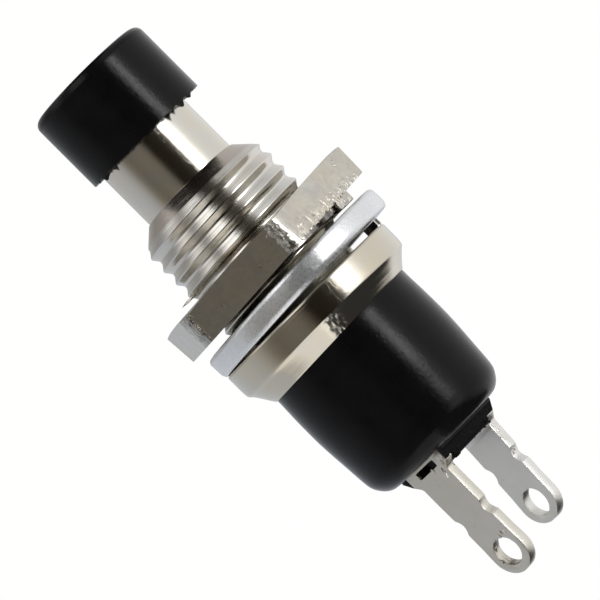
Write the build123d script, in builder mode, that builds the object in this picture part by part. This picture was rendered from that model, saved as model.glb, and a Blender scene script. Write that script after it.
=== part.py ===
from build123d import *
import math
import os

os.makedirs("parts", exist_ok=True)

# Mini panel-mount push button switch, normally open, momentary.
# Frame: millimetres, +Z along the bushing towards the button, origin at the
# centre of the flange's seat, the plane that bears on the back of the panel.

# ---------------------------------------------------------------- dimensions
# directions in the XY plane: nut, washer and cap sit off centre and slanted
# along SLANT; LEAN is square to it
SLANT_DEG = 46.0
SLANT = Vector(math.cos(math.radians(SLANT_DEG)), math.sin(math.radians(SLANT_DEG)), 0)
LEAN = Vector(math.sin(math.radians(SLANT_DEG)), -math.cos(math.radians(SLANT_DEG)), 0)

# threaded bushing (M7 x 0.75, drawn as a plain cylinder of the pitch diameter)
THREAD_PITCH = 0.75
THREAD_R = 3.27          # pitch radius
BUSH_TOP = 6.93          # front end of the bushing
BUSH_LIP_R = 2.56        # where the 45 degree front chamfer starts
BUSH_BORE_R = 2.50
NECK_R = 3.00            # relief neck between thread and flange
NECK_H = 0.42
FLANGE_R = 4.69
FLANGE_EDGE = 0.09
WEB_T = 0.55             # solid web under the seat
SKIRT_IN_R = 4.30
CRIMP_TOP_Z = -1.36      # crease where the skirt turns in
CRIMP_TOP_R = 4.55
CRIMP_END_Z = -2.30
CRIMP_END_R = 3.985
NIB_IN_R, NIB_OUT_R = 3.86, 4.66   # anti-rotation nib on the seat
NIB_W = 0.50
NIB_H = 0.33

# hexagon nut
NUT_AF = 10.0
NUT_T = 1.60
NUT_BORE_R = 3.46
NUT_MID_Z = 2.62
NUT_OFFSET = 0.13
NUT_SLANT_DEG = 3.40
NUT_LEAN_DEG = -1.35
NUT_FLAT_DEG = -1.4      # direction of one flat's normal
NUT_CHAMFER_R = 4.92     # the front face rolls off outside this radius
NUT_CHAMFER_DEG = 13.0
NUT_PIP_R = 4.10
NUT_PIP_L, NUT_PIP_W, NUT_PIP_H = 0.80, 0.60, 0.56

# flat washer
WASHER_R = 5.12
WASHER_BORE_R = 3.78
WASHER_T = 1.03
WASHER_EDGE = 0.20
WASHER_MID_Z = 0.725
WASHER_OFFSET = 0.30
WASHER_SLANT_DEG = 2.30
WASHER_LEAN_DEG = 0.55

# button cap and plunger sleeve
CAP_R = 3.10
CAP_BOTTOM, CAP_TOP = 9.79, 13.52
CAP_EDGE = 0.38
CAP_OFFSET = 0.17
SLEEVE_R = 2.425
SLEEVE_IN_R = 2.05
SLEEVE_TOP = 12.95
SLEEVE_STOP_R = 2.90     # shoulder that keeps the plunger in
SLEEVE_STOP_Z = -0.57
SLEEVE_STOP_T = 0.40

# plunger core, springs and moving contact
TRAVEL = 1.60
CORE_BOTTOM_Z = -1.90
SHAFT_R = 0.95
HEAD_R = 1.30
HEAD_TOP_Z, HEAD_END_Z = -4.75, -5.05
DISC_R = 2.65
DISC_BORE_R = 1.00
DISC_T = 0.30
CSPRING_R, CSPRING_WIRE, CSPRING_TURNS = 1.40, 0.22, 4.0
RSPRING_R, RSPRING_WIRE, RSPRING_TURNS = 1.02, 0.22, 4.5

# housing
BODY_RIM_R = 4.29
BODY_R = 3.92
BODY_BORE_R = 3.05
FLOOR_Z = -6.87          # inside floor, under the fixed contacts
WELL_R = 1.36            # well for the return spring
WELL_Z = -7.95
BODY_END_Z = -8.48
BOSS_X, BOSS_TOP_X = 1.67, 1.12
BOSS_END_Z = -9.29

# terminals
TERM_T = 0.50
TERM_IN_Y = 1.54         # inner face of each lug from the centre plane
TERM_W = 2.02
FOOT_W = 2.66
FOOT_END_Z = -9.02
FOOT_BLEND_Z = -9.34
WINDOW_W, WINDOW_H, WINDOW_Z = 1.36, 0.35, -8.80
NOTCH_W, NOTCH_FLAT, NOTCH_D = 0.88, 0.36, 0.18
HEAD_RADIUS = 1.05
EYELET_R = 0.70
PAD_TOP_Z = -6.37
PAD_OUT_Y = 2.85
PAD_W = 2.0
FRONT_NOTCH_Z, FRONT_EYE_Z, FRONT_TIP_Z = -11.72, -13.75, -14.87
REAR_SHORTER = 0.56      # the rear lug is seated this much higher
REAR_BEND_DEG = 4.0
REAR_BEND_Z = -9.34


def slanted_plane(offset, z, slant_deg, lean_deg):
    """Plane whose face rises towards SLANT and towards LEAN."""
    n = (
        Vector(0, 0, 1)
        - SLANT * math.tan(math.radians(slant_deg))
        - LEAN * math.tan(math.radians(lean_deg))
    ).normalized()
    x_dir = (Vector(1, 0, 0) - n * n.dot(Vector(1, 0, 0))).normalized()
    return Plane(origin=SLANT * offset + Vector(0, 0, z), x_dir=x_dir, z_dir=n)


# ---------------------------------------------------------- threaded bushing
with BuildPart() as threaded_bushing:
    with BuildSketch(Plane.XZ) as bush_profile:
        with BuildLine():
            Polyline(
                (BUSH_BORE_R, -WEB_T),
                (BUSH_BORE_R, BUSH_TOP - 0.06),
                (BUSH_BORE_R + 0.05, BUSH_TOP),
                (BUSH_LIP_R, BUSH_TOP),
                (THREAD_R, BUSH_TOP - (THREAD_R - BUSH_LIP_R)),
                (THREAD_R, NECK_H + (THREAD_R - NECK_R)),
                (NECK_R, NECK_H),
                (NECK_R, 0.0),
                (FLANGE_R - FLANGE_EDGE, 0.0),
                (FLANGE_R - 0.025, -0.025),
                (FLANGE_R, -FLANGE_EDGE),
                (FLANGE_R, -0.75),
                (FLANGE_R - 0.035, -1.05),
                (CRIMP_TOP_R, CRIMP_TOP_Z),
                (CRIMP_END_R, CRIMP_END_Z),
                (BODY_R + 0.01, CRIMP_END_Z),
                (BODY_R + 0.01, -1.80),
                (SKIRT_IN_R, -1.15),
                (SKIRT_IN_R, -WEB_T),
                close=True,
            )
        make_face()
    revolve(axis=Axis.Z)
    # anti-rotation nib standing on the seat near the rim
    with BuildSketch(Plane.XY):
        with PolarLocations((NIB_IN_R + NIB_OUT_R) / 2, 1, start_angle=SLANT_DEG):
            SlotOverall(NIB_OUT_R - NIB_IN_R, NIB_W)
    extrude(amount=NIB_H)
threaded_bushing.part.label = "threaded_bushing"
export_step(threaded_bushing.part, "parts/threaded_bushing.step")

# ------------------------------------------------------------------- hex nut
nut_plane = slanted_plane(NUT_OFFSET, NUT_MID_Z, NUT_SLANT_DEG, NUT_LEAN_DEG)
nut_axis = Axis(nut_plane.origin, nut_plane.z_dir)
with BuildPart() as hex_nut:
    with BuildSketch(nut_plane.offset(-NUT_T / 2)):
        RegularPolygon(NUT_AF / 2, 6, major_radius=False, rotation=NUT_FLAT_DEG - 30)
        Circle(NUT_BORE_R, mode=Mode.SUBTRACT)
    extrude(amount=NUT_T)
    # the corners are lower than the faces: much on the front, hardly on the rear
    with BuildSketch(Plane(nut_plane.origin, x_dir=nut_plane.x_dir, z_dir=-nut_plane.y_dir)):
        with BuildLine():
            Polyline(
                (0, NUT_T / 2),
                (NUT_CHAMFER_R, NUT_T / 2),
                (6.4, NUT_T / 2 - (6.4 - NUT_CHAMFER_R) * math.tan(math.radians(NUT_CHAMFER_DEG))),
                (6.4, -NUT_T / 2 + 0.20),
                (5.62, -NUT_T / 2),
                (0, -NUT_T / 2),
                close=True,
            )
        make_face()
    revolve(axis=nut_axis, mode=Mode.INTERSECT)
    # countersink at both mouths of the threaded hole
    chamfer(hex_nut.edges().filter_by(GeomType.CIRCLE).filter_by(
        lambda e: abs(e.radius - NUT_BORE_R) < 1e-6), length=0.16)
    # small pip left standing on the rear face
    with BuildSketch(nut_plane.offset(-NUT_T / 2)):
        with PolarLocations(NUT_PIP_R, 1, start_angle=SLANT_DEG):
            RectangleRounded(NUT_PIP_L, NUT_PIP_W, 0.2)
    extrude(amount=-NUT_PIP_H, taper=12)
hex_nut.part.label = "hex_nut"
export_step(hex_nut.part, "parts/hex_nut.step")

# --------------------------------------------------------------- flat washer
washer_plane = slanted_plane(WASHER_OFFSET, WASHER_MID_Z, WASHER_SLANT_DEG, WASHER_LEAN_DEG)
with BuildPart() as flat_washer:
    with BuildSketch(washer_plane.offset(-WASHER_T / 2)):
        Circle(WASHER_R)
        Circle(WASHER_BORE_R, mode=Mode.SUBTRACT)
    extrude(amount=WASHER_T)
    fillet(flat_washer.edges().filter_by(GeomType.CIRCLE).filter_by(
        lambda e: abs(e.radius - WASHER_R) < 1e-6), radius=WASHER_EDGE)
    fillet(flat_washer.edges().filter_by(GeomType.CIRCLE).filter_by(
        lambda e: abs(e.radius - WASHER_BORE_R) < 1e-6), radius=0.08)
flat_washer.part.label = "flat_washer"
export_step(flat_washer.part, "parts/flat_washer.step")

# ---------------------------------------------------------------- button cap
cap_centre = SLANT * CAP_OFFSET
with BuildPart() as button_cap:
    with BuildSketch(Plane(origin=(cap_centre.X, cap_centre.Y, CAP_BOTTOM))):
        Circle(CAP_R)
    extrude(amount=CAP_TOP - CAP_BOTTOM)
    fillet(button_cap.faces().sort_by(Axis.Z)[-1].edges(), radius=CAP_EDGE)
    with BuildSketch(Plane.XY.offset(CAP_BOTTOM)):
        Circle(SLEEVE_R)
    extrude(amount=SLEEVE_TOP - CAP_BOTTOM, mode=Mode.SUBTRACT)
button_cap.part.label = "button_cap"
export_step(button_cap.part, "parts/button_cap.step")

# ------------------------------------------------------------ plunger sleeve
with BuildPart() as plunger_sleeve:
    with BuildSketch(Plane.XZ):
        with BuildLine():
            Polyline(
                (SLEEVE_IN_R, SLEEVE_TOP),
                (SLEEVE_R - 0.06, SLEEVE_TOP),
                (SLEEVE_R, SLEEVE_TOP - 0.06),
                (SLEEVE_R, SLEEVE_STOP_Z),
                (SLEEVE_STOP_R, SLEEVE_STOP_Z),
                (SLEEVE_STOP_R, SLEEVE_STOP_Z - SLEEVE_STOP_T),
                (SLEEVE_IN_R, SLEEVE_STOP_Z - SLEEVE_STOP_T),
                close=True,
            )
        make_face()
    revolve(axis=Axis.Z)
plunger_sleeve.part.label = "plunger_sleeve"
export_step(plunger_sleeve.part, "parts/plunger_sleeve.step")

# -------------------------------------------------------------- plunger core
with BuildPart() as plunger_core:
    with BuildSketch(Plane.XZ):
        with BuildLine():
            Polyline(
                (0, SLEEVE_TOP),
                (SLEEVE_IN_R, SLEEVE_TOP),
                (SLEEVE_IN_R, CORE_BOTTOM_Z),
                (SHAFT_R, CORE_BOTTOM_Z),
                (SHAFT_R, HEAD_TOP_Z),
                (HEAD_R, HEAD_TOP_Z),
                (HEAD_R, HEAD_END_Z + 0.1),
                (HEAD_R - 0.1, HEAD_END_Z),
                (0, HEAD_END_Z),
                close=True,
            )
        make_face()
    revolve(axis=Axis.Z)
plunger_core.part.label = "plunger_core"
export_step(plunger_core.part, "parts/plunger_core.step")

# -------------------------------------------------------------- contact disc
with BuildPart() as contact_disc:
    with BuildSketch(Plane.XY.offset(HEAD_TOP_Z)):
        Circle(DISC_R)
        Circle(DISC_BORE_R, mode=Mode.SUBTRACT)
    extrude(amount=DISC_T)
    chamfer(contact_disc.faces().sort_by(Axis.Z)[-1].edges().sort_by(SortBy.RADIUS)[-1:], length=0.06)
contact_disc.part.label = "contact_disc"
export_step(contact_disc.part, "parts/contact_disc.step")

# ------------------------------------------------------------ contact spring
cs_low = HEAD_TOP_Z + DISC_T + CSPRING_WIRE / 2
cs_high = CORE_BOTTOM_Z - CSPRING_WIRE / 2
with BuildPart() as contact_spring:
    with BuildLine(Plane.XY.offset(cs_low)) as cs_line:
        Helix(pitch=(cs_high - cs_low) / CSPRING_TURNS, height=cs_high - cs_low, radius=CSPRING_R)
    with BuildSketch(Plane(origin=cs_line.line @ 0, z_dir=cs_line.line % 0)):
        Circle(CSPRING_WIRE / 2 - 0.005)
    sweep(is_frenet=True)
contact_spring.part.label = "contact_spring"
export_step(contact_spring.part, "parts/contact_spring.step")

# ------------------------------------------------------------- return spring
rs_low = WELL_Z + RSPRING_WIRE / 2
rs_high = HEAD_END_Z - RSPRING_WIRE / 2
with BuildPart() as return_spring:
    with BuildLine(Plane.XY.offset(rs_low)) as rs_line:
        Helix(pitch=(rs_high - rs_low) / RSPRING_TURNS, height=rs_high - rs_low, radius=RSPRING_R)
    with BuildSketch(Plane(origin=rs_line.line @ 0, z_dir=rs_line.line % 0)):
        Circle(RSPRING_WIRE / 2 - 0.005)
    sweep(is_frenet=True)
return_spring.part.label = "return_spring"
export_step(return_spring.part, "parts/return_spring.step")

# --------------------------------------------------------------- switch body
with BuildPart() as switch_body:
    with BuildSketch(Plane.XZ):
        with BuildLine():
            outer = Polyline(
                (0, WELL_Z),
                (WELL_R, WELL_Z),
                (WELL_R, FLOOR_Z),
                (BODY_BORE_R, FLOOR_Z),
                (BODY_BORE_R, -WEB_T - 0.01),
                (BODY_RIM_R, -WEB_T - 0.01),
                (BODY_RIM_R, -1.155),
                (BODY_R, -1.805),
                (BODY_R, -4.60),
            )
            barrel = Spline(
                (BODY_R, -4.60), (3.895, -5.60), (3.835, -6.50), (3.74, -7.55),
                tangents=[(0, -1), (-0.12, -1)],
            )
            edge = Spline(
                barrel @ 1, (3.62, -8.05), (3.36, -8.35), (2.95, BODY_END_Z),
                tangents=[(-0.12, -1), (-1, 0)],
            )
            Line(edge @ 1, (0, BODY_END_Z))
            Line((0, BODY_END_Z), (0, WELL_Z))
        make_face()
    revolve(axis=Axis.Z)
    # raised boss between and beside the lugs, sloping down at its two ends
    with BuildSketch(Plane.XZ.offset(-(TERM_IN_Y + TERM_T))):
        with BuildLine():
            Polyline(
                (-BOSS_X, BODY_END_Z + 0.25),
                (-BOSS_X, -8.62),
                (-BOSS_TOP_X, BOSS_END_Z),
                (BOSS_TOP_X, BOSS_END_Z),
                (BOSS_X, -8.62),
                (BOSS_X, BODY_END_Z + 0.25),
                close=True,
            )
        make_face()
    extrude(amount=2 * (TERM_IN_Y + TERM_T))
    # channels that hold the feet of the lugs, and slots for the shanks
    for side in (1, -1):
        with BuildSketch(Plane.XZ.offset(side * TERM_IN_Y)):
            with Locations((0, (BODY_END_Z - 10.0) / 2)):
                Rectangle(FOOT_W, 10.0 + BODY_END_Z)
        extrude(amount=side * TERM_T, mode=Mode.SUBTRACT)
        with BuildSketch(Plane.XZ.offset(side * TERM_IN_Y)):
            with Locations((0, (FLOOR_Z + BODY_END_Z) / 2)):
                Rectangle(PAD_W, FLOOR_Z - BODY_END_Z + 0.002)
        extrude(amount=side * TERM_T, mode=Mode.SUBTRACT)
switch_body.part.label = "switch_body"
export_step(switch_body.part, "parts/switch_body.step")


def shank(depth_foot, notch, eye, tip):
    """Outline of one lug below the housing, mirrored about its centre line.

    depth values are the local height coordinate, negative downwards.
    """
    w = TERM_W / 2
    n = NOTCH_W / 2
    f = NOTCH_FLAT / 2
    centre = tip + HEAD_RADIUS
    right = [
        (w, depth_foot),
        (w, notch + n),
        (w - NOTCH_D, notch + f),
        (w - NOTCH_D, notch - f),
        (w, notch - n),
        (w, centre + 0.55),
        (HEAD_RADIUS, centre + 0.1),
        (HEAD_RADIUS, centre),
    ]
    Polyline(*right)
    ThreePointArc((HEAD_RADIUS, centre), (0, tip), (-HEAD_RADIUS, centre))
    Polyline(*[(-x, y) for x, y in reversed(right)])
    Line((-w, depth_foot), (w, depth_foot))


# ------------------------------------------------------------ front terminal
with BuildPart() as front_terminal:
    # fixed contact, bent outwards over the floor, and the shank below it
    with BuildSketch(Plane.YZ.offset(-PAD_W / 2)) as front_bend:
        with BuildLine():
            Polyline(
                (-TERM_IN_Y, BODY_END_Z),
                (-TERM_IN_Y, PAD_TOP_Z),
                (-PAD_OUT_Y, PAD_TOP_Z),
                (-PAD_OUT_Y, FLOOR_Z),
                (-TERM_IN_Y - TERM_T, FLOOR_Z),
                (-TERM_IN_Y - TERM_T, BODY_END_Z),
                close=True,
            )
        make_face()
        fillet(front_bend.vertices().filter_by(
            lambda v: abs(v.Y + TERM_IN_Y) < 1e-6 and abs(v.Z - PAD_TOP_Z) < 1e-6), radius=0.42)
    extrude(amount=PAD_W)
    # wide foot under the housing
    with BuildSketch(Plane.XZ.offset(TERM_IN_Y)):
        with BuildLine():
            Polyline(
                (FOOT_W / 2, BODY_END_Z),
                (FOOT_W / 2, FOOT_END_Z),
                (TERM_W / 2, FOOT_BLEND_Z),
                (-TERM_W / 2, FOOT_BLEND_Z),
                (-FOOT_W / 2, FOOT_END_Z),
                (-FOOT_W / 2, BODY_END_Z),
                close=True,
            )
        make_face()
    extrude(amount=TERM_T)
    with BuildSketch(Plane.XZ.offset(TERM_IN_Y)):
        with BuildLine():
            shank(FOOT_BLEND_Z + 0.02, FRONT_NOTCH_Z, FRONT_EYE_Z, FRONT_TIP_Z)
        make_face()
    extrude(amount=TERM_T)
    with BuildSketch(Plane.XZ.offset(TERM_IN_Y)):
        with Locations((0, FRONT_EYE_Z)):
            Circle(EYELET_R)
        with Locations((0, WINDOW_Z)):
            RectangleRounded(WINDOW_W, WINDOW_H, 0.08)
    extrude(amount=TERM_T, mode=Mode.SUBTRACT)
front_terminal.part.label = "front_terminal"
export_step(front_terminal.part, "parts/front_terminal.step")

# ------------------------------------------------------------- rear terminal
bend = math.radians(REAR_BEND_DEG)
# local axes of the bent part: x across the lug, y up the lug, z out towards +Y
rear_plane = Plane(
    origin=(0, TERM_IN_Y, REAR_BEND_Z),
    x_dir=(-1, 0, 0),
    z_dir=(0, math.cos(bend), -math.sin(bend)),
)
with BuildPart() as rear_terminal:
    with BuildSketch(Plane.YZ.offset(-PAD_W / 2)) as rear_bend:
        with BuildLine():
            Polyline(
                (TERM_IN_Y, BODY_END_Z),
                (TERM_IN_Y, PAD_TOP_Z),
                (PAD_OUT_Y, PAD_TOP_Z),
                (PAD_OUT_Y, FLOOR_Z),
                (TERM_IN_Y + TERM_T, FLOOR_Z),
                (TERM_IN_Y + TERM_T, BODY_END_Z),
                close=True,
            )
        make_face()
        fillet(rear_bend.vertices().filter_by(
            lambda v: abs(v.Y - TERM_IN_Y) < 1e-6 and abs(v.Z - PAD_TOP_Z) < 1e-6), radius=0.42)
    extrude(amount=PAD_W)
    # wide foot under the housing
    with BuildSketch(Plane.XZ.offset(-TERM_IN_Y)):
        with BuildLine():
            Polyline(
                (FOOT_W / 2, BODY_END_Z),
                (FOOT_W / 2, FOOT_END_Z),
                (TERM_W / 2, FOOT_BLEND_Z),
                (-TERM_W / 2, FOOT_BLEND_Z),
                (-FOOT_W / 2, FOOT_END_Z),
                (-FOOT_W / 2, BODY_END_Z),
                close=True,
            )
        make_face()
    extrude(amount=-TERM_T)
    # the lug below the foot leans towards the front lug
    with BuildSketch(rear_plane):
        with BuildLine():
            shank(
                0.04,
                FRONT_NOTCH_Z + REAR_SHORTER - REAR_BEND_Z,
                FRONT_EYE_Z + REAR_SHORTER - REAR_BEND_Z,
                FRONT_TIP_Z + REAR_SHORTER - REAR_BEND_Z,
            )
        make_face()
    extrude(amount=TERM_T)
    with BuildSketch(rear_plane):
        with Locations((0, FRONT_EYE_Z + REAR_SHORTER - REAR_BEND_Z)):
            Circle(EYELET_R)
    extrude(amount=TERM_T, mode=Mode.SUBTRACT)
    with BuildSketch(Plane.XZ.offset(-TERM_IN_Y)):
        with Locations((0, WINDOW_Z)):
            RectangleRounded(WINDOW_W, WINDOW_H, 0.08)
    extrude(amount=-TERM_T, mode=Mode.SUBTRACT)
rear_terminal.part.label = "rear_terminal"
export_step(rear_terminal.part, "parts/rear_terminal.step")
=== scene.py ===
import bpy
import bmesh
import math
import random
from mathutils import Matrix, Vector, noise
from mathutils.bvhtree import BVHTree


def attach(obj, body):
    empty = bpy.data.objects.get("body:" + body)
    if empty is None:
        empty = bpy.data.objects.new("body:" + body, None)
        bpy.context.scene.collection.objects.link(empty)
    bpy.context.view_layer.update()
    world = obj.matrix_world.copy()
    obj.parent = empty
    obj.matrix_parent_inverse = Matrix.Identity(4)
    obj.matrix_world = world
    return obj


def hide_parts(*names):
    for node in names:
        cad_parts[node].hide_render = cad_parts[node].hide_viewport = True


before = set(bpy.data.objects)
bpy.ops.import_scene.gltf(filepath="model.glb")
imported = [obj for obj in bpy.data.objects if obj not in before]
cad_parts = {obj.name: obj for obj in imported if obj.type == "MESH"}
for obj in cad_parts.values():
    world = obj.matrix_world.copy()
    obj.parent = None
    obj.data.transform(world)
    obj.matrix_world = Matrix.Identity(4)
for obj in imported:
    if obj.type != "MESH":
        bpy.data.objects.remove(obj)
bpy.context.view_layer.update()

# ------------------------------------------------------------------ directions
# everything below is worked out in millimetres in the row frame, and scaled to
# metres when a piece is done
MM = 0.001
AZ = math.radians(46.0)
SIDE = Vector((math.cos(AZ), math.sin(AZ), 0.0))       # across the view
FRONT = Vector((math.sin(AZ), -math.cos(AZ), 0.0))     # towards the camera
UP = Vector((0.0, 0.0, 1.0))
SIDE_DEG, FRONT_DEG = 46.0, -44.0

scene = bpy.context.scene


def clamp01(x):
    return 0.0 if x < 0 else 1.0 if x > 1 else x


def smooth(a, b, x):
    t = clamp01((x - a) / (b - a))
    return t * t * (3 - 2 * t)


def turn(a, b):
    """Signed angle from b to a in degrees, -180 to 180."""
    return (a - b + 180.0) % 360.0 - 180.0


# ---------------------------------------------------------------- mesh helpers
def make(name, verts, faces):
    me = bpy.data.meshes.new(name)
    me.from_pydata([tuple(v) for v in verts], [], faces)
    bm = bmesh.new()
    bm.from_mesh(me)
    bmesh.ops.recalc_face_normals(bm, faces=bm.faces)
    bm.to_mesh(me)
    bm.free()
    o = bpy.data.objects.new(name, me)
    scene.collection.objects.link(o)
    return o


def arc(cx, cz, r, a0, a1, n):
    return [
        (cx + r * math.cos(math.radians(a0 + (a1 - a0) * i / n)),
         cz + r * math.sin(math.radians(a0 + (a1 - a0) * i / n)))
        for i in range(n + 1)
    ]


def lathe(name, prof, n=192, ring=True, shape=None, start=0.0):
    """Revolves (r, z) points about Z. ring: the profile is a closed loop off the axis;
    otherwise it runs from the axis to the axis."""
    verts, rows = [], []
    for r, z in prof:
        if r < 1e-9:
            rows.append([len(verts)])
            verts.append((0.0, 0.0, z))
            continue
        row = []
        for k in range(n):
            a = start + 360.0 * k / n
            rr, zz = shape(a, r, z) if shape else (r, z)
            row.append(len(verts))
            verts.append((rr * math.cos(math.radians(a)), rr * math.sin(math.radians(a)), zz))
        rows.append(row)
    faces = []
    pairs = list(zip(rows, rows[1:] + ([rows[0]] if ring else [])))
    if not ring:
        pairs = list(zip(rows, rows[1:]))
    for a, b in pairs:
        for k in range(n):
            j = (k + 1) % n
            if len(a) == 1 and len(b) == 1:
                continue
            if len(a) == 1:
                faces.append((a[0], b[k], b[j]))
            elif len(b) == 1:
                faces.append((a[k], b[0], a[j]))
            else:
                faces.append((a[k], b[k], b[j], a[j]))
    return make(name, verts, faces)


def prism(name, outline, low, high, axes=((1, 0, 0), (0, 1, 0), (0, 0, 1))):
    """Extrudes a 2D outline along the third of axes."""
    X, Y, Z = (Vector(a) for a in axes)
    n = len(outline)
    verts = [X * p[0] + Y * p[1] + Z * low for p in outline]
    verts += [X * p[0] + Y * p[1] + Z * high for p in outline]
    faces = [tuple(range(n - 1, -1, -1)), tuple(range(n, 2 * n))]
    faces += [(i, (i + 1) % n, n + (i + 1) % n, n + i) for i in range(n)]
    return make(name, verts, faces)


def settle(o):
    """Applies the object's modifiers and transform to its mesh."""
    bpy.context.view_layer.update()
    dg = bpy.context.evaluated_depsgraph_get()
    me = bpy.data.meshes.new_from_object(o.evaluated_get(dg), depsgraph=dg)
    me.transform(o.matrix_world)
    o.modifiers.clear()
    old = o.data
    o.data = me
    o.matrix_world = Matrix.Identity(4)
    if not old.users:
        bpy.data.meshes.remove(old)
    return o


def cut(a, b, how="DIFFERENCE", keep=False):
    m = a.modifiers.new("cut", "BOOLEAN")
    m.operation, m.object, m.solver = how, b, "EXACT"
    settle(a)
    if not keep:
        bpy.data.objects.remove(b)
    return a


def bevel(o, width, segments=2, angle=30.0):
    m = o.modifiers.new("bevel", "BEVEL")
    m.width, m.segments, m.limit_method = width, segments, "ANGLE"
    m.angle_limit = math.radians(angle)
    m.offset_type = "OFFSET"
    m.use_clamp_overlap = True
    return settle(o)


def tidy(o, dist=1e-4):
    bm = bmesh.new()
    bm.from_mesh(o.data)
    bmesh.ops.remove_doubles(bm, verts=bm.verts, dist=dist)
    bmesh.ops.dissolve_degenerate(bm, edges=bm.edges, dist=dist)
    loose = [v for v in bm.verts if not v.link_faces]
    bmesh.ops.delete(bm, geom=loose, context="VERTS")
    bmesh.ops.recalc_face_normals(bm, faces=bm.faces)
    bm.to_mesh(o.data)
    bm.free()
    return o


def chip(centre, size, seed, count=14, axes=None):
    """A small irregular lump or gouge: the hull of jittered points on an ellipsoid."""
    rnd = random.Random(seed)
    X, Y, Z = axes or (SIDE, FRONT, UP)
    bm = bmesh.new()
    for _ in range(count):
        d = Vector((rnd.gauss(0, 1), rnd.gauss(0, 1), rnd.gauss(0, 1))).normalized()
        k = rnd.uniform(0.75, 1.1)
        bm.verts.new(Vector(centre) + (X * d.x * size[0] + Y * d.y * size[1] + Z * d.z * size[2]) * k)
    r = bmesh.ops.convex_hull(bm, input=bm.verts)
    bmesh.ops.delete(bm, geom=[v for v in bm.verts if not v.link_faces], context="VERTS")
    bmesh.ops.recalc_face_normals(bm, faces=bm.faces)
    me = bpy.data.meshes.new("chip")
    bm.to_mesh(me)
    bm.free()
    o = bpy.data.objects.new("chip", me)
    scene.collection.objects.link(o)
    return o


def chips(group):
    """Several chips that stand apart from one another, as one object."""
    kept, bm = [], bmesh.new()
    for p, n, size, seed in group:
        if any((p - q).length < 1.15 * (max(size) + k) for q, k in kept):
            continue
        kept.append((p, max(size)))
        x = UP.cross(n).normalized()
        o = chip(p, size, seed, axes=(x, n, n.cross(x)))
        bm.from_mesh(o.data)
        bpy.data.objects.remove(o)
    me = bpy.data.meshes.new("chips")
    bm.to_mesh(me)
    bm.free()
    o = bpy.data.objects.new("chips", me)
    scene.collection.objects.link(o)
    return o


def hit(tree, s, z, d=None):
    """First point of a mesh met from the FRONT side on the line at (s, z)."""
    p, n, _, _ = tree.ray_cast(SIDE * s + UP * z + FRONT * 40.0, -FRONT)
    return p, n


def tree_of(o):
    bm = bmesh.new()
    bm.from_mesh(o.data)
    t = BVHTree.FromBMesh(bm)
    bm.free()
    return t


def bend_points(o, f):
    for v in o.data.vertices:
        v.co = f(v.co.copy())
    o.data.update()
    return o


def crisp(o, surfaces, angle):
    """Gives the turned surfaces their exact normals, which long cut faces would blur."""
    me = o.data
    for p in me.polygons:
        p.use_smooth = True
    me.set_sharp_from_angle(angle=math.radians(angle))
    normals = [c.vector.copy() for c in me.corner_normals]
    for p in me.polygons:
        for f in surfaces:
            if f(p.center, p.normal, None) is None:
                continue
            for li in p.loop_indices:
                v = me.vertices[me.loops[li].vertex_index].co
                normals[li] = f(p.center, p.normal, v)
            break
    me.normals_split_custom_set([tuple(n.normalized()) for n in normals])
    return o


def done(o, name, body, nodes, material, angle=32.0, weighted=True, surfaces=None):
    """Scales a finished piece to metres, shades it and hangs it on its body."""
    o.name = name
    o.data.name = name
    if surfaces:
        crisp(o, surfaces, angle)
        o.data.transform(Matrix.Scale(MM, 4))
    else:
        o.data.transform(Matrix.Scale(MM, 4))
        for p in o.data.polygons:
            p.use_smooth = True
        o.data.set_sharp_from_angle(angle=math.radians(angle))
    if weighted:
        m = o.modifiers.new("normals", "WEIGHTED_NORMAL")
        m.keep_sharp, m.weight = True, 50
    o.data.materials.clear()
    o.data.materials.append(material)
    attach(o, body)
    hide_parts(*nodes)
    return o


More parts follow.
